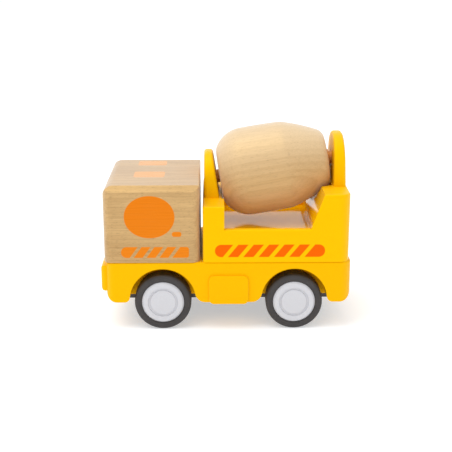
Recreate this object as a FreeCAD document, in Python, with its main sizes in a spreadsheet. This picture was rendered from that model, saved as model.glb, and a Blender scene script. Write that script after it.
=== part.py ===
import FreeCAD, Part
import os
import re

import Sketcher
from FreeCAD import Placement, Rotation, Vector

# A push-along toy cement mixer truck: a moulded plastic chassis on two steel axles, a beech cab block,
# and a plastic cradle whose two arches carry a turned beech drum on a dowel.
#
# The truck's nose points to -X, +Z is up, and Y = 0 is the middle of its width.
# The origin is at floor level, under the centre of the truck's overall box.

NODE_FOLDER = "parts"

# Driving dimensions in millimetres and degrees: name, value, what it is.
DIMENSIONS = [
    ("wheel_radius", 14.0, "outside of the tyre, and the height of both axles"),
    ("front_axle_x", -31.1, "front axle"),
    ("rear_axle_x", 33.6, "rear axle"),
    ("tyre_width", 10.0, "tyre, side to side"),
    ("hub_radius", 10.35, "hub rim, inside the tyre"),
    ("hub_boss_radius", 4.0, "boss that spaces the hub from the chassis"),
    ("hub_boss_length", 0.9, "boss, beyond the tyre's inner side"),
    ("hub_groove_radius", 6.8, "middle of the ring groove in the hub's face"),
    ("hub_groove_width", 0.9, "ring groove"),
    ("hub_groove_depth", 0.7, "ring groove"),
    ("hub_edge", 0.8, "chamfer round the hub's rim"),
    ("face_step", 0.3, "hub's inner disc and tyre's side, in from the hub's rim"),
    ("groove_flare", 0.2, "sides of the ring groove"),
    ("hub_wall", 1.6, "plastic left between the axle's end and the hub's face"),
    ("wheel_inset", 0.4, "hub's face, in from the chassis side"),
    ("tyre_round", 1.5, "rounding of the tyre's shoulders"),
    ("axle_radius", 1.5, "steel axles"),
    ("axle_clearance", 0.05, "axles and dowel in their bearings"),
    ("half_width", 32.0, "middle of the truck to its side"),
    ("chassis_front", -58.8, "front of the chassis"),
    ("chassis_rear", 61.4, "back of the chassis"),
    ("deck_z", 34.8, "top of the deck"),
    ("skirt_z", 14.3, "bottom of the skirts"),
    ("deck_thickness", 2.5, "deck plate"),
    ("arch_radius", 16.3, "wheel arches"),
    ("arch_z", 15.2, "middle of the wheel arches, a little above the axles"),
    ("spine_half_width", 19.5, "inner wall of the wheel wells"),
    ("spine_wall", 2.5, "side walls of the spine under the deck"),
    ("rib_offset", 6.0, "middle of the truck to the middle of each long rib"),
    ("rib_thickness", 2.0, "long ribs under the deck"),
    ("channel_front", -51.0, "front end of the channels under the deck"),
    ("channel_rear", 56.0, "back end of the channels under the deck"),
    ("nose_round", 5.2, "lower front and back corners of the skirts"),
    ("arch_lip_round", 2.6, "skirt corners at the outer ends of the arches"),
    ("sill_round", 5.0, "skirt corners at the inner ends of the arches"),
    ("plan_round", 5.5, "upright rear corners"),
    ("nose_plan_round", 4.0, "upright front corners"),
    ("deck_edge_round", 1.0, "top edge of the deck"),
    ("bumper_front", -61.4, "face of the bumper bar"),
    ("bumper_low", 19.7, "bottom of the bumper bar"),
    ("bumper_high", 32.8, "top of the bumper bar"),
    ("bumper_half_width", 29.5, "bumper bar"),
    ("bumper_round", 1.9, "edges of the bumper bar"),
    ("step_front", -8.4, "front of the raised step panels"),
    ("step_rear", 11.1, "back of the raised step panels"),
    ("step_low", 13.5, "bottom of the raised step panels"),
    ("step_high", 28.1, "top of the raised step panels"),
    ("step_stands_out", 1.2, "step panels, out from the chassis side"),
    ("step_corner", 2.6, "corners of the step panels"),
    ("step_edge_round", 0.6, "edges of the step panels"),
    ("boss_radius", 3.2, "screw bosses of the base plate"),
    ("plate_screw_x", 45.0, "base plate screws, from the middle"),
    ("plate_screw_y", 12.0, "base plate screws, from the middle"),
    ("screw_shank_radius", 1.2, "self-tapping screws"),
    ("screw_hole_radius", 1.5, "clearance holes for the screws"),
    ("screw_head_radius", 2.4, "pan heads"),
    ("screw_head_height", 1.5, "pan heads"),
    ("screw_head_round", 0.7, "edge of the pan heads"),
    ("screw_recess_radius", 2.9, "recesses for the heads in the base plate"),
    ("short_screw", 9.0, "shank of the base plate screws"),
    ("long_screw", 13.0, "shank of the screws that pass the deck"),
    ("plate_thickness", 2.0, "base plate"),
    ("plate_front", -53.0, "front of the base plate"),
    ("plate_rear", 56.8, "back of the base plate"),
    ("plate_corner", 4.0, "corners of the base plate"),
    ("axle_cover_radius", 3.4, "half the width of the round covers over the axles"),
    ("axle_cover_bend", 3.45, "curve of the round covers over the axles"),
    ("axle_cover_drop", 0.5, "where that curve starts, below the axle's middle"),
    ("cab_front", -59.5, "front of the cab block"),
    ("cab_rear", -12.8, "back of the cab block"),
    ("cab_top", 72.9, "roof of the cab block"),
    ("cab_chamfer", 2.8, "chamfer along both sides of the roof"),
    ("cab_upright_round", 4.0, "upright corners of the cab block"),
    ("cab_brow_round", 5.0, "front edge of the roof"),
    ("cab_edge_round", 0.8, "back edge of the roof"),
    ("cab_screw_front", -48.0, "front cab screw"),
    ("cab_screw_rear", -21.0, "rear cab screw"),
    ("cradle_front", -11.3, "front wall of the cradle"),
    ("cradle_rear", 60.3, "back wall of the cradle"),
    ("front_shoulder_z", 62.7, "top of the front wall"),
    ("front_shoulder_end", -0.8, "back of the front shoulder"),
    ("rear_shoulder_z", 68.6, "top of the back wall"),
    ("rear_shoulder_end", 47.6, "front of the rear shoulder"),
    ("dip_z", 51.3, "top of the low side walls"),
    ("dip_end", 41.3, "foot of the slope up to the rear shoulder"),
    ("cradle_side_wall", 3.0, "side walls of the cradle"),
    ("bed_z", 47.7, "floor of the bed under the drum"),
    ("bed_end", 42.4, "upright back end of the bed"),
    ("bed_thickness", 2.4, "floor of the bed under the drum"),
    ("end_wall", 1.4, "walls at both ends of the hollow under the bed"),
    ("cradle_plan_round", 5.0, "upright rear corners of the cradle"),
    ("cradle_nose_round", 1.6, "upright front corners of the cradle"),
    ("cradle_edge_round", 1.0, "top edges of the cradle"),
    ("front_arch_z", 84.2, "top of the front arch"),
    ("front_arch_back_top", -6.4, "inner face of the front arch, at its top"),
    ("front_arch_back_foot", -3.1, "inner face of the front arch, at the shoulder"),
    ("front_arch_nose", -10.6, "outer face of the front arch, at its top"),
    ("front_arch_half_width", 14.2, "front arch"),
    ("front_arch_corner", 12.5, "upper corners of the front arch"),
    ("rear_arch_z", 93.5, "top of the rear arch"),
    ("rear_arch_face", 53.6, "inner face of the rear arch"),
    ("rear_arch_back_top", 58.7, "outer face of the rear arch, at its top"),
    ("rear_arch_half_width", 15.5, "rear arch"),
    ("rear_arch_corner", 13.8, "upper corners of the rear arch"),
    ("arch_round", 1.5, "edges of both arches"),
    ("arch_root", 8.0, "arches, sunk into the cradle below the dip"),
    ("arch_setback", 0.6, "outer faces of the arches at their feet, in from the cradle's ends"),
    ("cradle_screw_front", -5.2, "front cradle screws"),
    ("cradle_screw_rear", 53.5, "rear cradle screws"),
    ("cradle_screw_y", 12.0, "cradle screws, from the middle"),
    ("core_size", 7.4, "square hollows moulded into the cradle's back wall"),
    ("core_pitch", 9.6, "from one hollow to the next"),
    ("core_count", 5, "hollows in a row"),
    ("core_depth", 11.0, "hollows, up from the cradle's underside"),
    ("drum_tilt", 9.5, "drum's axis, up towards the back"),
    ("drum_x", -2.6, "middle of the drum's front face"),
    ("drum_z", 71.0, "middle of the drum's front face"),
    ("drum_length", 54.6, "drum"),
    ("drum_mouth_radius", 11.7, "flat front face of the drum"),
    ("drum_lip_at", 1.2, "end of the front edge's rounding, from the front face"),
    ("drum_lip_radius", 15.5, "end of the front edge's rounding"),
    ("drum_shoulder_at", 13.4, "end of the front shoulder, from the front face"),
    ("drum_shoulder_radius", 22.2, "end of the front shoulder"),
    ("drum_kink_at", 33.8, "where the taper to the back starts, from the front face"),
    ("drum_kink_radius", 22.0, "where the taper to the back starts"),
    ("drum_tail_at", 52.0, "end of the taper, from the front face"),
    ("drum_tail_radius", 15.0, "end of the taper"),
    ("drum_back_radius", 12.0, "flat back face of the drum"),
    ("lip_bend", 6.7, "curve of the drum's front edge"),
    ("shoulder_bend", 15.5, "curve of the front shoulder"),
    ("belly_bend", 400.0, "curve of the belly"),
    ("taper_bend", 95.0, "curve of the taper"),
    ("back_bend", 5.8, "curve of the drum's back edge"),
    ("kink_round", 9.0, "blend from the belly to the taper"),
    ("drum_clearance", 1.5, "hollow in the cradle, around the drum"),
    ("hollow_start", 0.7, "front of the hollow, ahead of the drum"),
    ("dowel_radius", 3.3, "drum dowel"),
    ("dowel_length", 65.6, "drum dowel"),
    ("dowel_front", -7.0, "front end of the dowel, from the drum's front face"),
    ("front_bore_depth", -7.6, "end of the blind bore, from the drum's front face"),
    ("spacer_radius", 4.35, "wooden ring between the drum and the rear arch"),
    ("spacer_length", 1.2, "wooden ring between the drum and the rear arch"),
]
NAMES = {name for name, value, note in DIMENSIONS}

doc = FreeCAD.newDocument("push_along_truck")
sheet = doc.addObject("Spreadsheet::Sheet", "Dims")
for row, (name, value, note) in enumerate(DIMENSIONS, 1):
    sheet.set("A%d" % row, name)
    sheet.set("B%d" % row, str(value))
    sheet.set("C%d" % row, note)
    sheet.setAlias("B%d" % row, name)
doc.recompute()


# ---- helpers -------------------------------------------------------------------------------------

def formula(text):
    """The formula with each dimension's name pointing at its cell."""
    def cell(match):
        word = match.group(0)
        return "Dims." + word if word in NAMES else word
    return re.sub(r"[A-Za-z_][A-Za-z_0-9]*", cell, str(text))


def size(text):
    """The formula's present value, for first guesses and for finding edges."""
    return float(sheet.evalExpression(formula(text)))


def bind(item, **sizes):
    """Bind each named property of a feature to its formula."""
    for property_name, text in sizes.items():
        item.setExpression(property_name, formula(text))


def new_body(label):
    body = doc.addObject("PartDesign::Body", label)
    body.Label = label
    return body


def sketch_on(body, role, name, offset="0"):
    """A sketch on one of the body's origin planes, moved along the plane's normal by a formula."""
    sketch = body.newObject("Sketcher::SketchObject", name)
    plane = [feature for feature in body.Origin.OriginFeatures if feature.Role == role][0]
    sketch.AttachmentSupport = [(plane, "")]
    sketch.MapMode = "FlatFace"
    sketch.setExpression(".AttachmentOffset.Base.z", formula(offset))
    return sketch


def lock(sketch, geometry, end, x_text, y_text):
    """Hold one end of an edge, or a circle's centre, at a place given by two formulas."""
    for kind, text in (("DistanceX", x_text), ("DistanceY", y_text)):
        index = sketch.addConstraint(Sketcher.Constraint(kind, -1, 1, geometry, end, size(text)))
        sketch.renameConstraint(index, "place%d" % index)
        sketch.setExpression("Constraints.place%d" % index, formula(text))


def outline(sketch, corners):
    """A closed outline. Each corner is (x, y), or (x, y, radius, side) where the edge that leaves the
    corner is an arc that bulges to that side of the way it runs."""
    points = [Vector(size(corner[0]), size(corner[1]), 0) for corner in corners]
    edges = []
    for index, corner in enumerate(corners):
        start = points[index]
        end = points[(index + 1) % len(points)]
        if len(corner) == 2:
            geometry = sketch.addGeometry(Part.LineSegment(start, end))
        else:
            radius = size(corner[2])
            chord = end - start
            right = Vector(chord.y, -chord.x, 0).normalize()
            rise = radius - (radius ** 2 - (chord.Length / 2) ** 2) ** 0.5
            middle = (start + end) * 0.5 + right * (rise if corner[3] == "right" else -rise)
            geometry = sketch.addGeometry(Part.Arc(start, middle, end))
            bend = sketch.addConstraint(Sketcher.Constraint("Radius", geometry, radius))
            sketch.renameConstraint(bend, "bend%d" % bend)
            sketch.setExpression("Constraints.bend%d" % bend, formula(corner[2]))
        first = 1 if (sketch.getPoint(geometry, 1) - start).Length < 1e-6 else 2
        edges.append((geometry, first, 3 - first))
    for index, corner in enumerate(corners):
        before = edges[index - 1]
        after = edges[index]
        sketch.addConstraint(Sketcher.Constraint("Coincident", before[0], before[2], after[0], after[1]))
        lock(sketch, after[0], after[1], corner[0], corner[1])


def rectangle(sketch, low_x, low_y, high_x, high_y):
    outline(sketch, [(low_x, low_y), (high_x, low_y), (high_x, high_y), (low_x, high_y)])


def rounded_rectangle(sketch, low_x, low_y, high_x, high_y, radius):
    """A rectangle whose four corners are arcs."""
    bend = (radius, "right")
    outline(sketch, [(low_x + " + " + radius, low_y),
                     (high_x + " - " + radius, low_y) + bend, (high_x, low_y + " + " + radius),
                     (high_x, high_y + " - " + radius) + bend, (high_x + " - " + radius, high_y),
                     (low_x + " + " + radius, high_y) + bend, (low_x, high_y + " - " + radius),
                     (low_x, low_y + " + " + radius) + bend])


def corner_sliver(sketch, x_text, y_text, side_x, side_y, radius):
    """The waste outside a rounded corner. The sides are + or -, the way the corner points."""
    out_x = "%s %s 1" % (x_text, side_x)
    out_y = "%s %s 1" % (y_text, side_y)
    in_x = "%s - (%s1) * %s" % (x_text, side_x, radius)
    in_y = "%s - (%s1) * %s" % (y_text, side_y, radius)
    bulge = "right" if side_x == side_y else "left"
    outline(sketch, [(x_text, in_y, radius, bulge), (in_x, y_text), (in_x, out_y),
                     (out_x, out_y), (out_x, in_y)])


def circle(sketch, x_text, y_text, radius_text):
    centre = Vector(size(x_text), size(y_text), 0)
    geometry = sketch.addGeometry(Part.Circle(centre, Vector(0, 0, 1), size(radius_text)))
    index = sketch.addConstraint(Sketcher.Constraint("Radius", geometry, size(radius_text)))
    sketch.renameConstraint(index, "radius%d" % index)
    sketch.setExpression("Constraints.radius%d" % index, formula(radius_text))
    lock(sketch, geometry, 3, x_text, y_text)


def grow(body, name, sketch, length, both_ways=False, backwards=False):
    """Pad a sketch, and check that it adds material."""
    return extrude(body, "PartDesign::Pad", name, sketch, length, both_ways, backwards, +1)


def cut(body, name, sketch, length, both_ways=False, backwards=False):
    """Pocket a sketch, and check that it removes material."""
    return extrude(body, "PartDesign::Pocket", name, sketch, length, both_ways, backwards, -1)


def extrude(body, kind, name, sketch, length, both_ways, backwards, sign):
    before = volume(body)
    feature = body.newObject(kind, name)
    feature.Profile = sketch
    feature.SideType = "Symmetric" if both_ways else "One side"
    feature.Reversed = backwards
    bind(feature, Length=length)
    doc.recompute()
    if (volume(body) - before) * sign <= 0:
        raise RuntimeError("%s changed nothing" % name)
    return feature


def volume(body):
    return 0.0 if body.Shape.isNull() else body.Shape.Volume


def turn(body, kind, name, sketch, axis):
    """Turn a sketch about one of its axes, as a Revolution or a Groove."""
    before = volume(body)
    feature = body.newObject(kind, name)
    feature.Profile = sketch
    feature.ReferenceAxis = (sketch, [axis])
    feature.Angle = 360.0
    doc.recompute()
    if (volume(body) > before) != (kind == "PartDesign::Revolution"):
        raise RuntimeError("%s changed nothing" % name)
    return feature


def round_off(body, name, radius, wanted):
    """Round every edge of the body's tip whose box passes the test."""
    base = body.Tip
    names = ["Edge%d" % index for index, edge in enumerate(base.Shape.Edges, 1) if wanted(edge.BoundBox)]
    feature = body.newObject("PartDesign::Fillet", name)
    feature.Base = (base, names)
    bind(feature, Radius=radius)
    doc.recompute()
    if not names or feature.Shape.isNull() or not feature.Shape.isValid():
        raise RuntimeError("%s failed on %d edges" % (name, len(names)))
    return feature


def near(value, text):
    return abs(value - size(text)) < 0.02


def flat_at(low, high, text):
    """Both ends of a range are at the formula's value."""
    return near(low, text) and near(high, text)


def upright_at(box, x_text):
    """The edge runs along Z, at this X and at either side of the truck."""
    return flat_at(box.XMin, box.XMax, x_text) and box.YLength < 0.01 and box.ZLength > 0.5


def place(item, x="0", y="0", z="0", axis=Vector(0, 0, 1), angle="0"):
    """Put an item where the formulas say."""
    item.Placement = Placement(Vector(size(x), size(y), size(z)), Rotation(axis, size(angle)))
    item.setExpression(".Placement.Base.x", formula(x))
    item.setExpression(".Placement.Base.y", formula(y))
    item.setExpression(".Placement.Base.z", formula(z))
    item.setExpression(".Placement.Rotation.Angle", formula("(%s) * 1 deg" % angle))


# ---- chassis -------------------------------------------------------------------------------------

AXLES = ("front_axle_x", "rear_axle_x")
PLATE_SCREWS = [(x, y) for x in ("-plate_screw_x", "plate_screw_x")
                for y in ("-plate_screw_y", "plate_screw_y")]
CAB_SCREWS = [("cab_screw_front", "0"), ("cab_screw_rear", "0")]
CRADLE_SCREWS = [(x, y) for x in ("cradle_screw_front", "cradle_screw_rear")
                 for y in ("-cradle_screw_y", "cradle_screw_y")]


def make_chassis():
    body = new_body("chassis")
    side = sketch_on(body, "XZ_Plane", "chassis_side")
    rectangle(side, "chassis_front", "skirt_z", "chassis_rear", "deck_z")
    grow(body, "chassis_block", side, "2 * half_width", both_ways=True)
    for name, end, radius in (("nose", "chassis_front", "nose_plan_round"),
                              ("tail", "chassis_rear", "plan_round")):
        round_off(body, "chassis_upright_" + name, radius, lambda box: upright_at(box, end))
    round_off(body, "deck_edge", "deck_edge_round", lambda box: flat_at(box.ZMin, box.ZMax, "deck_z"))
    round_ends(body)
    cut_wells(body)
    hollow_spine(body)
    add_bumper_and_steps(body)
    return body


def round_ends(body):
    """Round off the lower front and back corners, across the whole width."""
    corners = sketch_on(body, "XZ_Plane", "low_corners")
    outline(corners, [("chassis_front - 1", "skirt_z - 1"), ("chassis_front + nose_round", "skirt_z - 1"),
                      ("chassis_front + nose_round", "skirt_z", "nose_round", "left"),
                      ("chassis_front", "skirt_z + nose_round"),
                      ("chassis_front - 1", "skirt_z + nose_round")])
    outline(corners, [("chassis_rear + 1", "skirt_z - 1"), ("chassis_rear + 1", "skirt_z + nose_round"),
                      ("chassis_rear", "skirt_z + nose_round", "nose_round", "left"),
                      ("chassis_rear - nose_round", "skirt_z"), ("chassis_rear - nose_round", "skirt_z - 1")])
    cut(body, "low_corner_cut", corners, "2 * half_width + 2", both_ways=True)


def lip(axle, side, radius):
    """Where the rounding of a skirt corner meets the skirt's bottom and the arch. The side is + or -."""
    rise = "(skirt_z + %s - arch_z)" % radius
    run = "sqrt((arch_radius + %s) ^ 2 - %s ^ 2)" % (radius, rise)
    share = "arch_radius / (arch_radius + %s)" % radius
    on_skirt = ("%s %s %s" % (axle, side, run), "skirt_z")
    on_arch = ("%s %s %s * %s" % (axle, side, run, share), "arch_z + %s * %s" % (rise, share))
    return on_skirt, on_arch


def cut_wells(body):
    """Wheel wells from both sides in to the spine, with rounded skirt corners at the arches' feet."""
    for name, sign in (("near", "+"), ("far", "-")):
        wells = sketch_on(body, "XZ_Plane", "wells_" + name, sign + "spine_half_width")
        for axle, front_round, rear_round in (("front_axle_x", "arch_lip_round", "sill_round"),
                                              ("rear_axle_x", "sill_round", "arch_lip_round")):
            front_foot, front_arch = lip(axle, "-", front_round)
            rear_foot, rear_arch = lip(axle, "+", rear_round)
            outline(wells, [(front_foot[0], "skirt_z - 1"), (rear_foot[0], "skirt_z - 1"),
                            rear_foot + (rear_round, "left"), rear_arch + ("arch_radius", "right"),
                            front_arch + (front_round, "left"), front_foot])
        cut(body, "wells_cut_" + name, wells, "half_width - spine_half_width + 1", backwards=(sign == "+"))


def hollow_spine(body):
    """Three channels under the deck, screw bosses, bearing grooves and the holes for the deck's screws."""
    depth = "deck_z - deck_thickness - skirt_z"
    channels = sketch_on(body, "XY_Plane", "channels", "skirt_z")
    inner = "rib_offset + rib_thickness / 2"
    outer = "spine_half_width - spine_wall"
    rectangle(channels, "channel_front", "-(%s)" % outer, "channel_rear", "-(%s)" % inner)
    rectangle(channels, "channel_front", "rib_thickness / 2 - rib_offset",
              "channel_rear", "rib_offset - rib_thickness / 2")
    rectangle(channels, "channel_front", inner, "channel_rear", outer)
    cut(body, "channel_cut", channels, depth, backwards=True)
    bosses = sketch_on(body, "XY_Plane", "bosses", "skirt_z")
    for x_text, y_text in PLATE_SCREWS:
        circle(bosses, x_text, y_text, "boss_radius")
    grow(body, "boss_pads", bosses, depth + " + 1")
    pilots = sketch_on(body, "XY_Plane", "boss_pilots", "skirt_z")
    for x_text, y_text in PLATE_SCREWS:
        circle(pilots, x_text, y_text, "screw_shank_radius")
    cut(body, "boss_pilot_cut", pilots, "short_screw", backwards=True)
    holes = sketch_on(body, "XY_Plane", "deck_holes", "deck_z - deck_thickness - 0.5")
    for x_text, y_text in CAB_SCREWS + CRADLE_SCREWS:
        circle(holes, x_text, y_text, "screw_hole_radius")
    cut(body, "deck_hole_cut", holes, "deck_thickness + 1", backwards=True)
    grooves = sketch_on(body, "XZ_Plane", "axle_grooves")
    for axle in AXLES:
        circle(grooves, axle, "wheel_radius", "axle_radius + axle_clearance")
    cut(body, "axle_groove_cut", grooves, "2 * spine_half_width + 1", both_ways=True)


def add_bumper_and_steps(body):
    """The bar across the nose, and one raised step panel on each side."""
    bar = sketch_on(body, "XZ_Plane", "bumper_side")
    rectangle(bar, "bumper_front", "bumper_low", "chassis_front + 1", "bumper_high")
    grow(body, "bumper", bar, "2 * bumper_half_width", both_ways=True)
    round_off(body, "bumper_edges", "bumper_round", lambda box: flat_at(box.XMin, box.XMax, "bumper_front"))
    for name, sign in (("near", "+"), ("far", "-")):
        panel = sketch_on(body, "XZ_Plane", "step_" + name, sign + "(half_width - 1)")
        rounded_rectangle(panel, "step_front", "step_low", "step_rear", "step_high", "step_corner")
        grow(body, "step_pad_" + name, panel, "step_stands_out + 1", backwards=(sign == "-"))
        side = "-" if name == "near" else "+"
        round_off(body, "step_edges_" + name, "step_edge_round",
              lambda box: flat_at(box.YMin, box.YMax, side + "(half_width + step_stands_out)"))


# ---- base plate ----------------------------------------------------------------------------------

def make_base_plate():
    """The cover under the spine. Half-round covers hold the axles up into the chassis."""
    body = new_body("base_plate")
    plan = sketch_on(body, "XY_Plane", "plate_plan", "skirt_z - plate_thickness")
    rectangle(plan, "plate_front", "-spine_half_width", "plate_rear", "spine_half_width")
    grow(body, "plate", plan, "plate_thickness")
    round_off(body, "plate_corners", "plate_corner",
          lambda box: box.ZLength > 0.5 and box.XLength < 0.01 and box.YLength < 0.01)
    covers = sketch_on(body, "XZ_Plane", "axle_covers")
    for axle in AXLES:
        front = axle + " - axle_cover_radius"
        rear = axle + " + axle_cover_radius"
        outline(covers, [(front, "skirt_z - plate_thickness / 2"),
                         (front, "wheel_radius - axle_cover_drop", "axle_cover_bend", "right"),
                         (rear, "wheel_radius - axle_cover_drop"),
                         (rear, "skirt_z - plate_thickness / 2")])
    grow(body, "cover_pads", covers, "2 * spine_half_width", both_ways=True)
    grooves = sketch_on(body, "XZ_Plane", "plate_grooves")
    for axle in AXLES:
        circle(grooves, axle, "wheel_radius", "axle_radius + axle_clearance")
    cut(body, "groove_cut", grooves, "2 * spine_half_width + 1", both_ways=True)
    holes = sketch_on(body, "XY_Plane", "plate_holes", "skirt_z - plate_thickness - 1")
    recesses = sketch_on(body, "XY_Plane", "plate_recesses", "skirt_z - plate_thickness - 1")
    for x_text, y_text in PLATE_SCREWS:
        circle(holes, x_text, y_text, "screw_hole_radius")
        circle(recesses, x_text, y_text, "screw_recess_radius")
    cut(body, "hole_cut", holes, "plate_thickness + 2", backwards=True)
    cut(body, "recess_cut", recesses, "1 + plate_thickness / 2", backwards=True)
    return body


# ---- wheels and axles ----------------------------------------------------------------------------
# A wheel is drawn about its own Y axis with its outer face at Y = 0 and its inner side at +Y.

WHEELS = [("front_left", "front_axle_x", "wheel_inset - half_width", "0"),
          ("rear_left", "rear_axle_x", "wheel_inset - half_width", "0"),
          ("front_right", "front_axle_x", "half_width - wheel_inset", "180"),
          ("rear_right", "rear_axle_x", "half_width - wheel_inset", "180")]


def make_hub(name, x_text, y_text, angle):
    body = new_body("hub_" + name)
    section = sketch_on(body, "XY_Plane", "hub_section_" + name)
    groove_in = "hub_groove_radius - hub_groove_width / 2"
    groove_out = "hub_groove_radius + hub_groove_width / 2"
    outline(section, [("0", "face_step"), (groove_in + " - groove_flare", "face_step"),
                      (groove_in, "hub_groove_depth"), (groove_out, "hub_groove_depth"),
                      (groove_out + " + groove_flare", "0"), ("hub_radius - hub_edge", "0"),
                      ("hub_radius", "hub_edge"), ("hub_radius", "tyre_width"),
                      ("hub_boss_radius", "tyre_width"),
                      ("hub_boss_radius", "tyre_width + hub_boss_length"),
                      ("axle_radius", "tyre_width + hub_boss_length"), ("axle_radius", "hub_wall"),
                      ("0", "hub_wall")])
    turn(body, "PartDesign::Revolution", "hub_turned_" + name, section, "V_Axis")
    place(body, x_text, y_text, "wheel_radius", angle=angle)
    return body


def make_tyre(name, x_text, y_text, angle):
    body = new_body("tyre_" + name)
    section = sketch_on(body, "XY_Plane", "tyre_section_" + name)
    outline(section, [("hub_radius", "hub_edge"), ("hub_radius + hub_edge", "face_step"),
                      ("wheel_radius - tyre_round", "face_step", "tyre_round", "right"),
                      ("wheel_radius", "tyre_round + face_step"),
                      ("wheel_radius", "tyre_width - tyre_round", "tyre_round", "right"),
                      ("wheel_radius - tyre_round", "tyre_width"), ("hub_radius", "tyre_width")])
    turn(body, "PartDesign::Revolution", "tyre_turned_" + name, section, "V_Axis")
    place(body, x_text, y_text, "wheel_radius", angle=angle)
    return body


def make_axle(name, x_text):
    """A plain steel rod, pressed into the blind bore of a hub at each end."""
    rod = doc.addObject("Part::Cylinder", name)
    rod.Label = name
    bind(rod, Radius="axle_radius", Height="2 * (half_width - wheel_inset - hub_wall)")
    place(rod, x_text, "half_width - wheel_inset - hub_wall", "wheel_radius", Vector(1, 0, 0), "90")
    return rod


# ---- cab -----------------------------------------------------------------------------------------

def make_cab():
    """The cab is one block of beech, screwed down through the deck."""
    body = new_body("cab_block")
    side = sketch_on(body, "XZ_Plane", "cab_side")
    outline(side, [("cab_front", "deck_z"), ("cab_rear", "deck_z"),
                   ("cab_rear", "cab_top - cab_edge_round", "cab_edge_round", "right"),
                   ("cab_rear - cab_edge_round", "cab_top"),
                   ("cab_front + cab_brow_round", "cab_top", "cab_brow_round", "right"),
                   ("cab_front", "cab_top - cab_brow_round")])
    grow(body, "cab_blank", side, "2 * half_width", both_ways=True)
    uprights = sketch_on(body, "XY_Plane", "cab_uprights", "deck_z - 1")
    for end, side_x in (("cab_front", "-"), ("cab_rear", "+")):
        for edge, side_y in (("-half_width", "-"), ("half_width", "+")):
            corner_sliver(uprights, end, edge, side_x, side_y, "cab_upright_round")
    cut(body, "cab_upright_cut", uprights, "cab_top - deck_z + 2", backwards=True)
    chamfers = sketch_on(body, "YZ_Plane", "cab_chamfers", "cab_front - 1")
    for edge in ("-(half_width", "(half_width"):
        outline(chamfers, [(edge + " - cab_chamfer)", "cab_top"), (edge + " + 1)", "cab_top + 0.1"),
                           (edge + ")", "cab_top - cab_chamfer")])
    cut(body, "cab_chamfer_cut", chamfers, "cab_rear - cab_front + 2", backwards=True)
    pilots = sketch_on(body, "XY_Plane", "cab_pilots", "deck_z")
    for x_text, y_text in CAB_SCREWS:
        circle(pilots, x_text, y_text, "screw_shank_radius")
    cut(body, "cab_pilot_cut", pilots, "long_screw - deck_thickness", backwards=True)
    return body


# ---- drum cradle ---------------------------------------------------------------------------------

def drum_line(body, role, name):
    """A sketch in the truck's middle plane whose own X axis is the drum's axis."""
    sketch = sketch_on(body, role, name)
    sketch.AttachmentOffset = Placement(Vector(size("drum_x"), size("drum_z"), 0),
                                        Rotation(Vector(0, 0, 1), size("drum_tilt")))
    sketch.setExpression(".AttachmentOffset.Base.x", formula("drum_x"))
    sketch.setExpression(".AttachmentOffset.Base.y", formula("drum_z"))
    sketch.setExpression(".AttachmentOffset.Base.z", None)
    return sketch


def make_cradle():
    body = new_body("drum_cradle")
    side = sketch_on(body, "XZ_Plane", "cradle_side")
    outline(side, [("cradle_front", "deck_z"), ("cradle_rear", "deck_z"), ("cradle_rear", "rear_shoulder_z"),
                   ("rear_shoulder_end", "rear_shoulder_z"), ("dip_end", "dip_z"),
                   ("front_shoulder_end", "dip_z"), ("front_shoulder_end", "front_shoulder_z"),
                   ("cradle_front", "front_shoulder_z")])
    grow(body, "cradle_blank", side, "2 * half_width", both_ways=True)
    for name, end, radius in (("tail", "cradle_rear", "cradle_plan_round"),
                              ("nose", "cradle_front", "cradle_nose_round")):
        round_off(body, "cradle_upright_" + name, radius, lambda box: upright_at(box, end))
    add_arches(body)
    round_cradle_rim(body)
    cut_bed(body)
    cut_for_drum(body)
    cut_underside(body)
    return body


def add_arches(body):
    """Two tombstone plates that rise out of the front and back walls."""
    foot = "dip_z - arch_root"
    front = sketch_on(body, "XZ_Plane", "front_arch_side")
    outline(front, [("cradle_front + arch_setback", foot), ("front_arch_back_foot", foot),
                    ("front_arch_back_foot", "front_shoulder_z"), ("front_arch_back_top", "front_arch_z"),
                    ("front_arch_nose", "front_arch_z"), ("cradle_front + arch_setback", "front_shoulder_z")])
    rear = sketch_on(body, "XZ_Plane", "rear_arch_side")
    outline(rear, [("rear_arch_face", foot), ("cradle_rear - arch_setback", foot),
                   ("cradle_rear - arch_setback", "rear_shoulder_z"), ("rear_arch_back_top", "rear_arch_z"),
                   ("rear_arch_face", "rear_arch_z")])
    arches = (("front_arch", front, "front_arch_half_width", "front_arch_z", "front_arch_corner",
               "front_shoulder_z"),
              ("rear_arch", rear, "rear_arch_half_width", "rear_arch_z", "rear_arch_corner",
               "rear_shoulder_z"))
    for name, sketch, half, top, corner, shoulder in arches:
        grow(body, name, sketch, "2 * " + half, both_ways=True)
        round_off(body, name + "_corners", corner,
                  lambda box: flat_at(box.ZMin, box.ZMax, top) and box.YLength < 0.01)
        round_off(body, name + "_edges", "arch_round",
                  lambda box: flat_at(box.ZMin, box.ZMax, top) and box.YLength > 0.5)


def round_cradle_rim(body):
    """Soften the top edges along both sides of the cradle."""
    side = size("half_width")
    round_off(body, "cradle_rim", "cradle_edge_round",
          lambda box: abs(abs(box.YMin) - side) < 0.02 and box.YLength < 0.01
          and box.ZMin > size("dip_z") - 0.02 and box.XLength > 2)


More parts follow.
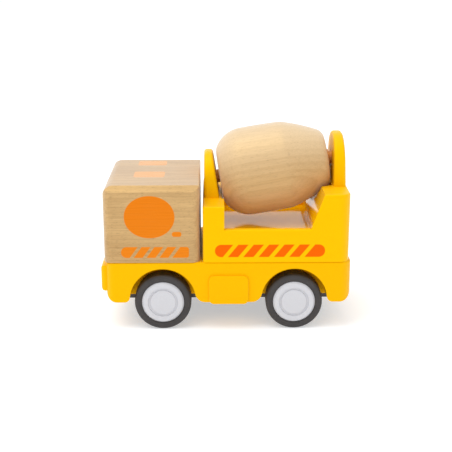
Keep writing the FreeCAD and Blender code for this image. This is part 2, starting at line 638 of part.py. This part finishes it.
def cut_for_drum(body):
    """The hollow that the drum turns in, and the bores for its dowel."""
    hollow = drum_line(body, "XZ_Plane", "drum_hollow")
    outline(hollow, [("-hollow_start", "0"), ("-hollow_start", "drum_lip_radius + drum_clearance"),
                     ("drum_shoulder_at / 2", "drum_shoulder_radius + drum_clearance"),
                     ("drum_kink_at", "drum_shoulder_radius + drum_clearance"),
                     ("drum_length", "drum_tail_radius + drum_clearance"), ("drum_length", "0")])
    turn(body, "PartDesign::Groove", "drum_hollow_cut", hollow, "H_Axis")
    bores = drum_line(body, "XZ_Plane", "dowel_bores")
    rectangle(bores, "front_bore_depth", "0", "drum_length + 20", "dowel_radius + axle_clearance")
    turn(body, "PartDesign::Groove", "dowel_bore_cut", bores, "H_Axis")


def cut_bed(body):
    """The open bed between the side walls, which cuts a small step into the foot of the slope."""
    bed = sketch_on(body, "XZ_Plane", "bed_side")
    rectangle(bed, "front_shoulder_end", "bed_z", "bed_end", "dip_z + 4")
    cut(body, "bed_cut", bed, "2 * (half_width - cradle_side_wall)", both_ways=True)


def cut_underside(body):
    """The hollow under the bed, the screw pilots and the hollows that keep the back wall thin."""
    pocket = sketch_on(body, "XY_Plane", "bed_pocket", "deck_z")
    rectangle(pocket, "front_shoulder_end + end_wall", "cradle_side_wall - half_width",
              "dip_end - end_wall", "half_width - cradle_side_wall")
    cut(body, "bed_pocket_cut", pocket, "bed_z - bed_thickness - deck_z", backwards=True)
    pilots = sketch_on(body, "XY_Plane", "cradle_pilots", "deck_z")
    for x_text, y_text in CRADLE_SCREWS:
        circle(pilots, x_text, y_text, "screw_shank_radius")
    cut(body, "cradle_pilot_cut", pilots, "long_screw - deck_thickness", backwards=True)
    cores = sketch_on(body, "XY_Plane", "back_wall_cores", "deck_z")
    low_x = "dip_end + end_wall"
    for index in range(int(size("core_count"))):
        middle = "(%d - (core_count - 1) / 2) * core_pitch" % index
        rectangle(cores, low_x, middle + " - core_size / 2",
                  low_x + " + core_size", middle + " + core_size / 2")
    cut(body, "core_cut", cores, "core_depth", backwards=True)


# ---- drum ----------------------------------------------------------------------------------------
# The drum and what turns with it are drawn about the body's X axis, from the drum's front face.

def along_drum(item, start="0"):
    place(item, "drum_x + (%s) * cos(drum_tilt * 1 deg)" % start, "0",
          "drum_z + (%s) * sin(drum_tilt * 1 deg)" % start, Vector(0, -1, 0), "drum_tilt")


def make_drum():
    body = new_body("mixer_drum")
    section = sketch_on(body, "XZ_Plane", "drum_section")
    outline(section, [("0", "dowel_radius"), ("drum_length", "dowel_radius"),
                      ("drum_length", "drum_back_radius", "back_bend", "right"),
                      ("drum_tail_at", "drum_tail_radius", "taper_bend", "right"),
                      ("drum_kink_at", "drum_kink_radius", "belly_bend", "right"),
                      ("drum_shoulder_at", "drum_shoulder_radius", "shoulder_bend", "right"),
                      ("drum_lip_at", "drum_lip_radius", "lip_bend", "right"),
                      ("0", "drum_mouth_radius")])
    turn(body, "PartDesign::Revolution", "drum_turned", section, "H_Axis")
    round_off(body, "drum_kink", "kink_round",
          lambda box: near(box.XMin, "drum_kink_at") and near(box.XMax, "drum_kink_at"))
    along_drum(body)
    return body


def make_rod_on_drum(name, radius, bore, start, length):
    """A round wooden piece on the drum's axis."""
    body = new_body(name)
    section = sketch_on(body, "XZ_Plane", name + "_section")
    rectangle(section, "0", bore, length, radius)
    turn(body, "PartDesign::Revolution", name + "_turned", section, "H_Axis")
    along_drum(body, start)
    return body


# ---- screws --------------------------------------------------------------------------------------

def make_screws(name, places, head_z, shank):
    """Identical pan-head screws, driven upwards, as separate solids in one sub-part."""
    solids = []
    for x_text, y_text in places:
        foot = Vector(size(x_text), size(y_text), size(head_z))
        head = Part.makeCylinder(size("screw_head_radius"), size("screw_head_height"), foot)
        rim = [edge for edge in head.Edges if near(edge.BoundBox.ZMax, head_z)]
        head = head.makeFillet(size("screw_head_round"), rim)
        top = foot + Vector(0, 0, size("screw_head_height"))
        body = Part.makeCylinder(size("screw_shank_radius"), size(shank), top)
        solids.append(head.fuse(body).removeSplitter())
    item = doc.addObject("Part::Feature", name)
    item.Label = name
    item.Shape = Part.makeCompound([shape.Solids[0] for shape in solids])
    return item


# ---- assembly ------------------------------------------------------------------------------------

def build():
    pieces = [make_chassis(), make_base_plate(), make_cab(), make_cradle(), make_drum()]
    pieces.append(make_rod_on_drum("drum_dowel", "dowel_radius", "0", "dowel_front", "dowel_length"))
    pieces.append(make_rod_on_drum("drum_spacer", "spacer_radius", "dowel_radius",
                                   "drum_length", "spacer_length"))
    for name, x_text in (("front_axle", "front_axle_x"), ("rear_axle", "rear_axle_x")):
        pieces.append(make_axle(name, x_text))
    for wheel in WHEELS:
        pieces.append(make_hub(*wheel))
        pieces.append(make_tyre(*wheel))
    under_deck = "deck_z - deck_thickness - screw_head_height"
    pieces.append(make_screws("base_plate_screws", PLATE_SCREWS,
                              "skirt_z - plate_thickness / 2 - screw_head_height", "short_screw"))
    pieces.append(make_screws("cab_screws", CAB_SCREWS, under_deck, "long_screw"))
    pieces.append(make_screws("cradle_screws", CRADLE_SCREWS, under_deck, "long_screw"))
    return pieces


def check(pieces):
    """Stop unless every object computed and every piece is a whole solid."""
    doc.recompute()
    for item in doc.Objects:
        if "Invalid" in item.State or "Error" in item.State:
            raise RuntimeError("%s is in state %s" % (item.Name, item.State))
    for piece in pieces:
        if piece.Shape.isNull() or not piece.Shape.isValid() or not piece.Shape.Solids:
            raise RuntimeError("%s has no valid shape" % piece.Label)


def write(pieces):
    os.makedirs(NODE_FOLDER, exist_ok=True)
    for piece in pieces:
        piece.Shape.exportStep(os.path.join(NODE_FOLDER, piece.Label + ".step"))


parts = build()
check(parts)
write(parts)
whole = Part.makeCompound([piece.Shape for piece in parts]).BoundBox
print("overall size %.1f x %.1f x %.1f mm" % (whole.XLength, whole.YLength, whole.ZLength))
print("box from (%.2f, %.2f, %.2f)" % (whole.XMin, whole.YMin, whole.ZMin))
for piece in parts:
    print("%-20s %d solid(s), %8.1f mm3" % (piece.Label, len(piece.Shape.Solids), piece.Shape.Volume))
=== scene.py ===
"""Looks of a small wooden and plastic mixer truck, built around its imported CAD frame.

Every length inside a material is in millimetres, because each one starts from object coordinates times MM.
"""

import math

import bpy
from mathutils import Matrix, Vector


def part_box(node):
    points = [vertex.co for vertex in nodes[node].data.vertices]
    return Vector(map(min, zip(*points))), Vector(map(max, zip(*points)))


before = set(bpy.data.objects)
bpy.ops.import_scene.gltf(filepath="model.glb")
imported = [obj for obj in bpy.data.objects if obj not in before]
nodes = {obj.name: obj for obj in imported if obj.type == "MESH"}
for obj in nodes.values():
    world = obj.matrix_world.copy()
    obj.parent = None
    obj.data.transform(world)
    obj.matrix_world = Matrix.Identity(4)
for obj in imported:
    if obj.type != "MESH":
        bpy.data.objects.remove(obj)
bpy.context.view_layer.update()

MM = 1000.0

# The drum's axis.
DRUM_TILT = math.radians(9.5)
DRUM_PIVOT = (-2.6, 0.0, 71.0)

# Where the cradle is polished, and how much less rough it is there.
BED_HALF_WIDTH = 29.0
BED_RIM_Z = 51.3
SLOPE_X = (41.0, 47.8)
POLISH_BLUR = 0.3
POLISH = 0.33

# Beech: the width of a year's growth, how far the rings wander, and the paler wood far from the pith. On the drum
# that paler wood is also painted light: with the pith low on the near side, it paints a highlight on the drum's top
# and narrow ends, and leaves the underside darker as painted shade.
RING_PITCH = 3.4
RING_WANDER = 7.0
PALE_WOOD_AND_PAINTED_HIGHLIGHT_START = 20.0
PALE_WOOD_AND_PAINTED_HIGHLIGHT_BLEND = 28.0
PALE_WOOD_AND_PAINTED_HIGHLIGHT_SHARE = 0.60
PALE_WOOD_AND_PAINTED_HIGHLIGHT = (0.86, 0.68, 0.44)

# Printed shapes: the middle, the half size, and the corner's radius (for the window, its fullness).
INK_BLUR = 0.16
INK_DEPTH = (0.6, 0.4)
WINDOW = ((-37.0, 57.8), (12.2, 10.5), 2.04)
HANDLE = ((-23.9, 49.2), (2.3, 1.25), 1.1)
CAB_BAR_FRONT = ((-38.0, 40.1), (13.0, 2.75), 2.7)
CAB_BAR_REAR = ((-30.0, 40.1), (12.0, 2.75), 1.3)
ROOF_BAR_NEAR = ((-38.1, -5.6), (7.7, 6.4), 1.6)
ROOF_BAR_FAR = ((-37.8, 20.6), (7.4, 5.4), 1.6)
CRADLE_BAR = ((21.4, 40.7), (26.8, 3.15), 3.1)
CAB_GAPS = {"first": -43.9, "count": 4, "pitch": 6.25, "width": 1.9, "lean": 0.72, "middle": 40.1}
CRADLE_GAPS = {"first": 2.2, "count": 6, "pitch": 7.47, "width": 2.5, "lean": 0.81, "middle": 40.7}

CRADLE_YELLOW = (0.96, 0.53, 0.001)
CHASSIS_YELLOW = (0.95, 0.49, 0.001)
WINDOW_INK = (0.78, 0.185, 0.0005)
STRIPE_INK = (0.80, 0.20, 0.003)
BODY_INK = (0.90, 0.115, 0.001)
ROOF_INK = (0.82, 0.33, 0.03)


class Graph:
    """One material's node tree, with short names for the nodes that the materials below use."""

    def __init__(self, name, **settings):
        self.material = bpy.data.materials.new(name)
        self.material.use_nodes = True
        self.tree = self.material.node_tree
        self.shader = self.tree.nodes["Principled BSDF"]
        for socket, value in settings.items():
            self.shader.inputs[socket.replace("_", " ")].default_value = value
        points = self.node("ShaderNodeTexCoord")
        self.normal = points.outputs["Normal"]
        self.points = self.scale(points.outputs["Object"], MM)

    def node(self, kind, **settings):
        made = self.tree.nodes.new(kind)
        for key, value in settings.items():
            setattr(made, key, value)
        return made

    def feed(self, socket, value):
        if isinstance(value, bpy.types.NodeSocket):
            self.tree.links.new(value, socket)
        else:
            socket.default_value = value

    def math(self, operation, *values):
        made = self.node("ShaderNodeMath", operation=operation)
        for socket, value in zip(made.inputs, values):
            self.feed(socket, value)
        return made.outputs[0]

    def away(self, value, middle):
        """How far the value is from the middle, on either side."""
        return self.math("ABSOLUTE", self.math("SUBTRACT", value, middle))

    def length(self, first, second):
        squares = [self.math("MULTIPLY", value, value) for value in (first, second)]
        return self.math("SQRT", self.math("ADD", *squares))

    def scale(self, vector, factor):
        made = self.node("ShaderNodeVectorMath", operation="SCALE")
        self.feed(made.inputs[0], vector)
        self.feed(made.inputs["Scale"], factor)
        return made.outputs[0]

    def stretched(self, vector, factors):
        made = self.node("ShaderNodeVectorMath", operation="MULTIPLY")
        self.feed(made.inputs[0], vector)
        self.feed(made.inputs[1], factors)
        return made.outputs[0]

    def moved(self, vector, step):
        made = self.node("ShaderNodeVectorMath", operation="ADD")
        self.feed(made.inputs[0], vector)
        self.feed(made.inputs[1], step)
        return made.outputs[0]

    def turned(self, vector, angle):
        """The vector turned about Y."""
        made = self.node("ShaderNodeVectorRotate", rotation_type="Y_AXIS")
        self.feed(made.inputs["Vector"], vector)
        self.feed(made.inputs["Angle"], angle)
        return made.outputs[0]

    def split(self, vector):
        made = self.node("ShaderNodeSeparateXYZ")
        self.feed(made.inputs[0], vector)
        return made.outputs

    def noise(self, vector, detail=2.0, roughness=0.5):
        made = self.node("ShaderNodeTexNoise")
        self.feed(made.inputs["Vector"], vector)
        self.feed(made.inputs["Scale"], 1.0)
        self.feed(made.inputs["Detail"], detail)
        self.feed(made.inputs["Roughness"], roughness)
        return made.outputs["Fac"]

    def cells(self, vector):
        made = self.node("ShaderNodeTexVoronoi")
        self.feed(made.inputs["Vector"], vector)
        self.feed(made.inputs["Scale"], 1.0)
        return made.outputs["Distance"], self.split(made.outputs["Color"])[0]

    def ramp(self, value, low, high, to_low=0.0, to_high=1.0):
        """The value eased from to_low at low to to_high at high."""
        made = self.node("ShaderNodeMapRange", interpolation_type="SMOOTHSTEP")
        self.feed(made.inputs["Value"], value)
        self.feed(made.inputs["From Min"], low)
        self.feed(made.inputs["From Max"], high)
        self.feed(made.inputs["To Min"], to_low)
        self.feed(made.inputs["To Max"], to_high)
        return made.outputs[0]

    def mixed(self, share, first, second):
        made = self.node("ShaderNodeMix", data_type="RGBA")
        self.feed(made.inputs["Factor"], share)
        for socket, value in ((made.inputs[6], first), (made.inputs[7], second)):
            self.feed(socket, value if isinstance(value, bpy.types.NodeSocket) else (*value, 1.0))
        return made.outputs[2]

    def bump(self, height, depth_mm, strength=1.0):
        made = self.node("ShaderNodeBump")
        self.feed(made.inputs["Strength"], strength)
        self.feed(made.inputs["Distance"], depth_mm / MM)
        self.feed(made.inputs["Height"], height)
        self.feed(self.shader.inputs["Normal"], made.outputs[0])

    def bar(self, across, up, centre, half, radius):
        """1 inside a bar with rounded corners, 0 outside."""
        reach = [
            self.math("SUBTRACT", self.away(value, middle), size - radius)
            for value, middle, size in zip((across, up), centre, half)
        ]
        outside = [self.math("MAXIMUM", value, 0.0) for value in reach]
        corner = self.length(*outside)
        inside = self.math("MINIMUM", self.math("MAXIMUM", *reach), 0.0)
        distance = self.math("SUBTRACT", self.math("ADD", corner, inside), radius)
        return self.ramp(distance, -INK_BLUR, INK_BLUR, 1.0, 0.0)

    def oval(self, across, up, centre, half, fullness):
        """1 inside an oval, 0 outside. Fullness 2 is an ellipse, and more is squarer."""
        terms = [
            self.math("POWER", self.math("DIVIDE", self.away(value, middle), size), fullness)
            for value, middle, size in zip((across, up), centre, half)
        ]
        size = self.math("POWER", self.math("ADD", *terms), 1.0 / fullness)
        blur = INK_BLUR / half[1]
        return self.ramp(size, 1.0 - blur, 1.0 + blur, 1.0, 0.0)

    def gaps(self, across, up, first, count, pitch, width, lean, middle):
        """1 on slanted strokes and 0 in the gaps between them, where the first gap's middle is at first."""
        slid = self.math("SUBTRACT", across, self.math("MULTIPLY", self.math("SUBTRACT", up, middle), lean))
        slid = self.math("SUBTRACT", slid, first)
        slid = self.math("MINIMUM", self.math("MAXIMUM", slid, -pitch / 2), (count - 0.5) * pitch)
        turn = self.math("WRAP", slid, pitch / 2, -pitch / 2)
        return self.ramp(self.math("ABSOLUTE", turn), width / 2 - INK_BLUR, width / 2 + INK_BLUR)


def side_mask(graph, axis_value, plane):
    """1 within half a millimetre of the two planes at plus and minus plane."""
    return graph.ramp(graph.math("ABSOLUTE", axis_value), *(plane - depth for depth in INK_DEPTH))


def wood(
    name, pith, light, dark, grain_seed,
    turn=0.0, prints=None, roughness=0.38, streaks=0.34, flecks=0.20, rings=0.10,
):
    """Beech. The grain runs along X, turned about Y for the drum, and the growth rings go round the pith line."""
    graph = Graph(
        name,
        Specular_IOR_Level=0.5,
        Specular_Tint=(1.0, 0.6, 0.08, 1.0),
        Sheen_Weight=0.45,
        Sheen_Roughness=0.45,
    )
    along = graph.turned(graph.moved(graph.points, [-c for c in DRUM_PIVOT]), turn) if turn else graph.points
    along = graph.moved(along, (grain_seed, 0.0, 0.0))
    wobble = graph.noise(graph.stretched(along, (0.012, 0.05, 0.05)), detail=2.0)
    x, y, z = graph.split(along)
    radius = graph.length(graph.math("SUBTRACT", y, pith[0]), graph.math("SUBTRACT", z, pith[1]))
    radius = graph.math("ADD", radius, graph.math("MULTIPLY", wobble, RING_WANDER))
    year = graph.math("FRACT", graph.math("DIVIDE", radius, RING_PITCH))
    late = graph.math("MULTIPLY", graph.ramp(year, 0.2, 0.85), graph.ramp(year, 0.88, 1.0, 1.0, 0.0))
    fibre = graph.noise(graph.stretched(along, (0.03, 1.1, 1.1)), detail=4.0, roughness=0.62)
    fine = graph.noise(graph.stretched(along, (0.11, 4.2, 4.2)), detail=2.0, roughness=0.6)
    tone = graph.noise(graph.stretched(along, (0.010, 0.07, 0.07)), detail=2.0)
    distance, chance = graph.cells(graph.stretched(along, (0.40, 2.1, 2.1)))
    fleck = graph.math("MULTIPLY", graph.ramp(distance, 0.10, 0.32, 1.0, 0.0), graph.ramp(chance, 0.70, 0.92))
    facing = graph.turned(graph.normal, turn) if turn else graph.normal
    end_grain = graph.ramp(graph.math("ABSOLUTE", graph.split(facing)[0]), 0.80, 0.98)
    share = graph.math("MULTIPLY", late, graph.ramp(end_grain, 0.0, 1.0, rings, 0.30))
    streak = graph.ramp(fibre, 0.34, 0.70, 0.0, streaks)
    streak = graph.math("MULTIPLY", streak, graph.ramp(end_grain, 0.0, 1.0, 1.0, 0.2))
    share = graph.math("ADD", share, streak)
    share = graph.math("ADD", share, graph.ramp(tone, 0.32, 0.68, 0.0, 0.26))
    colour = graph.mixed(share, light, dark)
    if turn:
        # Paler wood far from the pith, which on the drum is also a painted highlight on its top and ends.
        pale_wood_and_painted_highlight = graph.ramp(radius, PALE_WOOD_AND_PAINTED_HIGHLIGHT_START, PALE_WOOD_AND_PAINTED_HIGHLIGHT_START + PALE_WOOD_AND_PAINTED_HIGHLIGHT_BLEND, 0.0, PALE_WOOD_AND_PAINTED_HIGHLIGHT_SHARE)
        colour = graph.mixed(pale_wood_and_painted_highlight, colour, PALE_WOOD_AND_PAINTED_HIGHLIGHT)
    pore = graph.noise(graph.stretched(along, (0.3, 7.0, 7.0)), detail=2.0, roughness=0.6)
    darker = graph.math("MULTIPLY", end_grain, graph.ramp(pore, 0.42, 0.75, 0.04, 0.16))
    darker = graph.math("ADD", darker, graph.math("MULTIPLY", fleck, flecks))
    darker = graph.math("ADD", darker, graph.ramp(fine, 0.35, 0.75, 0.0, 0.08))
    dash = graph.noise(graph.stretched(along, (0.45, 2.6, 2.6)), detail=2.0, roughness=0.7)
    darker = graph.math("ADD", darker, graph.ramp(dash, 0.52, 0.78, 0.0, flecks))
    colour = graph.scale(colour, graph.math("SUBTRACT", 1.0, darker))
    height = graph.math("ADD", graph.math("MULTIPLY", fibre, 0.4), graph.math("MULTIPLY", fine, 0.4))
    height = graph.math("SUBTRACT", height, graph.math("MULTIPLY", fleck, 0.4))
    dull = graph.ramp(fibre, 0.3, 0.7, roughness - 0.08, roughness + 0.08)
    for mask, ink in prints(graph) if prints else ():
        cover = graph.math("MULTIPLY", mask, graph.ramp(fine, 0.45, 0.9, 1.0, 0.94))
        colour = graph.mixed(cover, colour, ink)
        dull = graph.math("ADD", dull, graph.math("MULTIPLY", mask, -0.08))
        height = graph.math("MULTIPLY", height, graph.math("SUBTRACT", 1.0, graph.math("MULTIPLY", mask, 0.5)))
    graph.feed(graph.shader.inputs["Base Color"], colour)
    graph.feed(graph.shader.inputs["Roughness"], dull)
    graph.bump(height, 0.08, 0.6)
    return graph.material


def cab_prints(graph):
    """A big round side window, a door handle, a slashed bar low on the side, and two bars on the roof."""
    x, y, z = graph.split(graph.points)
    top_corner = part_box("cab_block")[1] * MM
    side = side_mask(graph, y, top_corner.y)
    roof = graph.ramp(z, *(top_corner.z - depth for depth in INK_DEPTH))
    window = graph.oval(x, z, *WINDOW)
    bar = graph.math("MAXIMUM", graph.bar(x, z, *CAB_BAR_FRONT), graph.bar(x, z, *CAB_BAR_REAR))
    bar = graph.math("MULTIPLY", bar, graph.gaps(x, z, **CAB_GAPS))
    stripes = graph.math("MAXIMUM", graph.bar(x, z, *HANDLE), bar)
    tops = graph.math("MAXIMUM", graph.bar(x, y, *ROOF_BAR_NEAR), graph.bar(x, y, *ROOF_BAR_FAR))
    return (
        (graph.math("MULTIPLY", window, side), WINDOW_INK),
        (graph.math("MULTIPLY", stripes, side), STRIPE_INK),
        (graph.math("MULTIPLY", tops, roof), ROOF_INK),
    )


def bed_mask(graph):
    """1 on the slope behind the drum, and between the side walls below their rim.

    That is the bed, but it also takes in the outer front and back walls of the cradle, because X has no limit.
    """
    x, y, z = graph.split(graph.points)
    inside = graph.ramp(graph.math("ABSOLUTE", y), BED_HALF_WIDTH + POLISH_BLUR, BED_HALF_WIDTH)
    low = graph.ramp(z, BED_RIM_Z, BED_RIM_Z - POLISH_BLUR)
    past_start = graph.ramp(x, SLOPE_X[0] - POLISH_BLUR, SLOPE_X[0])
    before_end = graph.ramp(x, SLOPE_X[1], SLOPE_X[1] - POLISH_BLUR)
    leaning = graph.ramp(graph.split(graph.normal)[2], 0.2, 0.3)
    on_slope = graph.math("MULTIPLY", graph.math("MULTIPLY", past_start, before_end), leaning)
    return graph.math("MAXIMUM", graph.math("MULTIPLY", inside, low), on_slope)


def yellow_plastic(name, yellow, marked):
    """Moulded plastic, satin. A marked one is also polished where bed_mask is 1, and has the slashed bar."""
    graph = Graph(name, Specular_IOR_Level=0.5, Specular_Tint=(1.0, 0.62, 0.02, 1.0))
    skin = graph.noise(graph.stretched(graph.points, (0.9, 0.9, 0.9)), detail=3.0, roughness=0.6)
    flow = graph.noise(graph.stretched(graph.points, (0.05, 0.05, 0.09)), detail=2.0)
    rub = graph.noise(graph.stretched(graph.points, (0.25, 0.5, 0.8)), detail=4.0, roughness=0.65)
    colour = graph.scale(
        graph.mixed(graph.ramp(flow, 0.3, 0.7, 0.0, 0.35), yellow, [c * 0.93 for c in yellow]),
        graph.ramp(skin, 0.3, 0.7, 0.985, 1.015),
    )
    dull = graph.ramp(rub, 0.35, 0.75, 0.40, 0.50)
    if marked:
        x, y, z = graph.split(graph.points)
        dull = graph.math("SUBTRACT", dull, graph.math("MULTIPLY", bed_mask(graph), POLISH))
        side = side_mask(graph, y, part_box("drum_cradle")[1].y * MM)
        bar = graph.math("MULTIPLY", graph.bar(x, z, *CRADLE_BAR), graph.gaps(x, z, **CRADLE_GAPS))
        ink = graph.math("MULTIPLY", bar, side)
        colour = graph.mixed(ink, colour, BODY_INK)
        dull = graph.math("ADD", dull, graph.math("MULTIPLY", ink, 0.15))
    graph.feed(graph.shader.inputs["Base Color"], colour)
    graph.feed(graph.shader.inputs["Roughness"], dull)
    graph.bump(skin, 0.012, 0.4)
    return graph.material


def plain_plastic(name, colour, roughness):
    """Moulded plastic in one colour, a little rubbed and very finely grained."""
    graph = Graph(name, Specular_IOR_Level=0.42)
    skin = graph.noise(graph.stretched(graph.points, (1.3, 1.3, 1.3)), detail=3.0)
    rub = graph.noise(graph.stretched(graph.points, (0.5, 0.5, 0.5)), detail=4.0, roughness=0.7)
    graph.feed(graph.shader.inputs["Base Color"], graph.mixed(rub, colour, [c * 0.91 for c in colour]))
    graph.feed(graph.shader.inputs["Roughness"], graph.ramp(rub, 0.3, 0.7, roughness - 0.07, roughness + 0.07))
    graph.bump(skin, 0.03, 0.5)
    return graph.material


def rubber(name):
    """Dark tyre rubber, finely gritty, with a little dust."""
    graph = Graph(name, Specular_IOR_Level=0.45)
    grit = graph.noise(graph.stretched(graph.points, (3.0, 3.0, 3.0)), detail=3.0, roughness=0.7)
    dust = graph.noise(graph.stretched(graph.points, (0.25, 0.25, 0.25)), detail=4.0, roughness=0.6)
    graph.feed(
        graph.shader.inputs["Base Color"],
        graph.mixed(graph.ramp(dust, 0.3, 0.75), (0.033, 0.029, 0.028), (0.050, 0.044, 0.043)),
    )
    graph.feed(graph.shader.inputs["Roughness"], graph.ramp(dust, 0.3, 0.7, 0.5, 0.68))
    graph.bump(grit, 0.06, 0.6)
    return graph.material


def steel(name, colour):
    """Steel with fine scratches along Y."""
    graph = Graph(name, Metallic=1.0)
    scratch = graph.noise(graph.stretched(graph.points, (6.0, 0.4, 6.0)), detail=3.0, roughness=0.6)
    graph.feed(graph.shader.inputs["Base Color"], graph.mixed(scratch, colour, [c * 0.8 for c in colour]))
    graph.feed(graph.shader.inputs["Roughness"], graph.ramp(scratch, 0.3, 0.7, 0.24, 0.42))
    graph.bump(scratch, 0.02, 0.5)
    return graph.material


def dress(material, *names):
    """Gives CAD nodes their material."""
    for name in names:
        for slot in nodes[name].material_slots:
            slot.material = material


corners = [f"{end}_{side}" for end in ("front", "rear") for side in ("left", "right")]

dress(yellow_plastic("chassis_plastic", CHASSIS_YELLOW, False), "chassis")
dress(yellow_plastic("cradle_plastic", CRADLE_YELLOW, True), "drum_cradle")
dress(plain_plastic("plate_plastic", (0.055, 0.055, 0.058), 0.42), "base_plate")
dress(plain_plastic("hub_plastic", (0.65, 0.65, 0.68), 0.33), *(f"hub_{corner}" for corner in corners))
dress(
    wood("cab_beech", (64.0, 12.0), (0.66, 0.43, 0.20), (0.36, 0.205, 0.085), 310.0, prints=cab_prints, flecks=0.30),
    "cab_block",
)
# The drum's pith is set low on the near side, so its paler wood paints a highlight on the drum's top and ends.
dress(
    wood(
        "drum_beech", (-34.0, -17.0), (0.66, 0.43, 0.21), (0.49, 0.29, 0.115), 90.0,
        turn=DRUM_TILT, streaks=0.28, flecks=0.16, rings=0.26,
    ),
    "mixer_drum",
)
# The dowel and spacer keep a beech grain, but their dark orange-brown is painted shade with painted orange light
# bounced from the yellow plastic, where they sit in shadow at the drum's ends.
dress(
    wood("dowel_beech_painted_shade", (9.0, 3.0), (0.78, 0.36, 0.12), (0.55, 0.20, 0.06), 500.0, turn=DRUM_TILT),
    "drum_dowel",
    "drum_spacer",
)
dress(rubber("tyre_rubber"), *(f"tyre_{corner}" for corner in corners))
dress(steel("axle_steel", (0.62, 0.62, 0.64)), "front_axle", "rear_axle")
dress(steel("screw_steel", (0.50, 0.50, 0.52)), "base_plate_screws", "cab_screws", "cradle_screws")


def floor():
    """A wide pale floor that glows a little, as a light table does, curved up far behind the truck."""
    half_width, front, bend, radius, top = 6.0, -4.0, 5.0, 1.5, 4.0
    profile = [(front, 0.0), (bend, 0.0)]
    steps = 16
    for step in range(1, steps + 1):
        angle = math.radians(90.0) * step / steps
        profile.append((bend + radius * math.sin(angle), radius * (1.0 - math.cos(angle))))
    profile.append((bend + radius, top))
    points = [(side * half_width, y, z) for y, z in profile for side in (-1, 1)]
    faces = [(i, i + 1, i + 3, i + 2) for i in range(0, len(points) - 2, 2)]
    mesh = bpy.data.meshes.new("studio_floor")
    mesh.from_pydata(points, [], faces)
    mesh.shade_smooth()
    made = bpy.data.objects.new("studio_floor", mesh)
    bpy.context.scene.collection.objects.link(made)
    graph = Graph("studio_floor", Roughness=0.9, Specular_IOR_Level=0.0, Emission_Strength=0.43)
    graph.shader.inputs["Base Color"].default_value = (0.735, 0.755, 0.785, 1.0)
    graph.shader.inputs["Emission Color"].default_value = (1.0, 1.0, 1.0, 1.0)
    mesh.materials.append(graph.material)


def area_light(name, place, target, size, watts):
    data = bpy.data.lights.new(name, "AREA")
    data.size = size
    data.energy = watts
    made = bpy.data.objects.new(name, data)
    made.location = place
    aim = made.location.copy()
    aim.x, aim.y, aim.z = (target[i] - place[i] for i in range(3))
    made.rotation_euler = aim.to_track_quat("-Z", "Y").to_euler()
    bpy.context.scene.collection.objects.link(made)


def studio():
    world = bpy.data.worlds.new("studio")
    bpy.context.scene.world = world
    world.use_nodes = True
    back = world.node_tree.nodes["Background"]
    back.inputs["Color"].default_value = (1.0, 1.0, 1.0, 1.0)
    back.inputs["Strength"].default_value = 0.76
    area_light("soft_top", (-0.32, -0.16, 1.1), (0.0, 0.0, 0.04), 0.9, 7.5)
    bpy.context.scene.view_settings.view_transform = "Standard"


def camera():
    data = bpy.data.cameras.new("camera")
    data.sensor_width = 36.0
    data.lens = 79.65
    made = bpy.data.objects.new("camera", data)
    made.location = (-0.0065, -0.496, 0.1856)
    made.rotation_euler = (math.radians(74.09), 0.0, math.radians(-0.8))
    bpy.context.scene.collection.objects.link(made)
    bpy.context.scene.camera = made


floor()
studio()
camera()
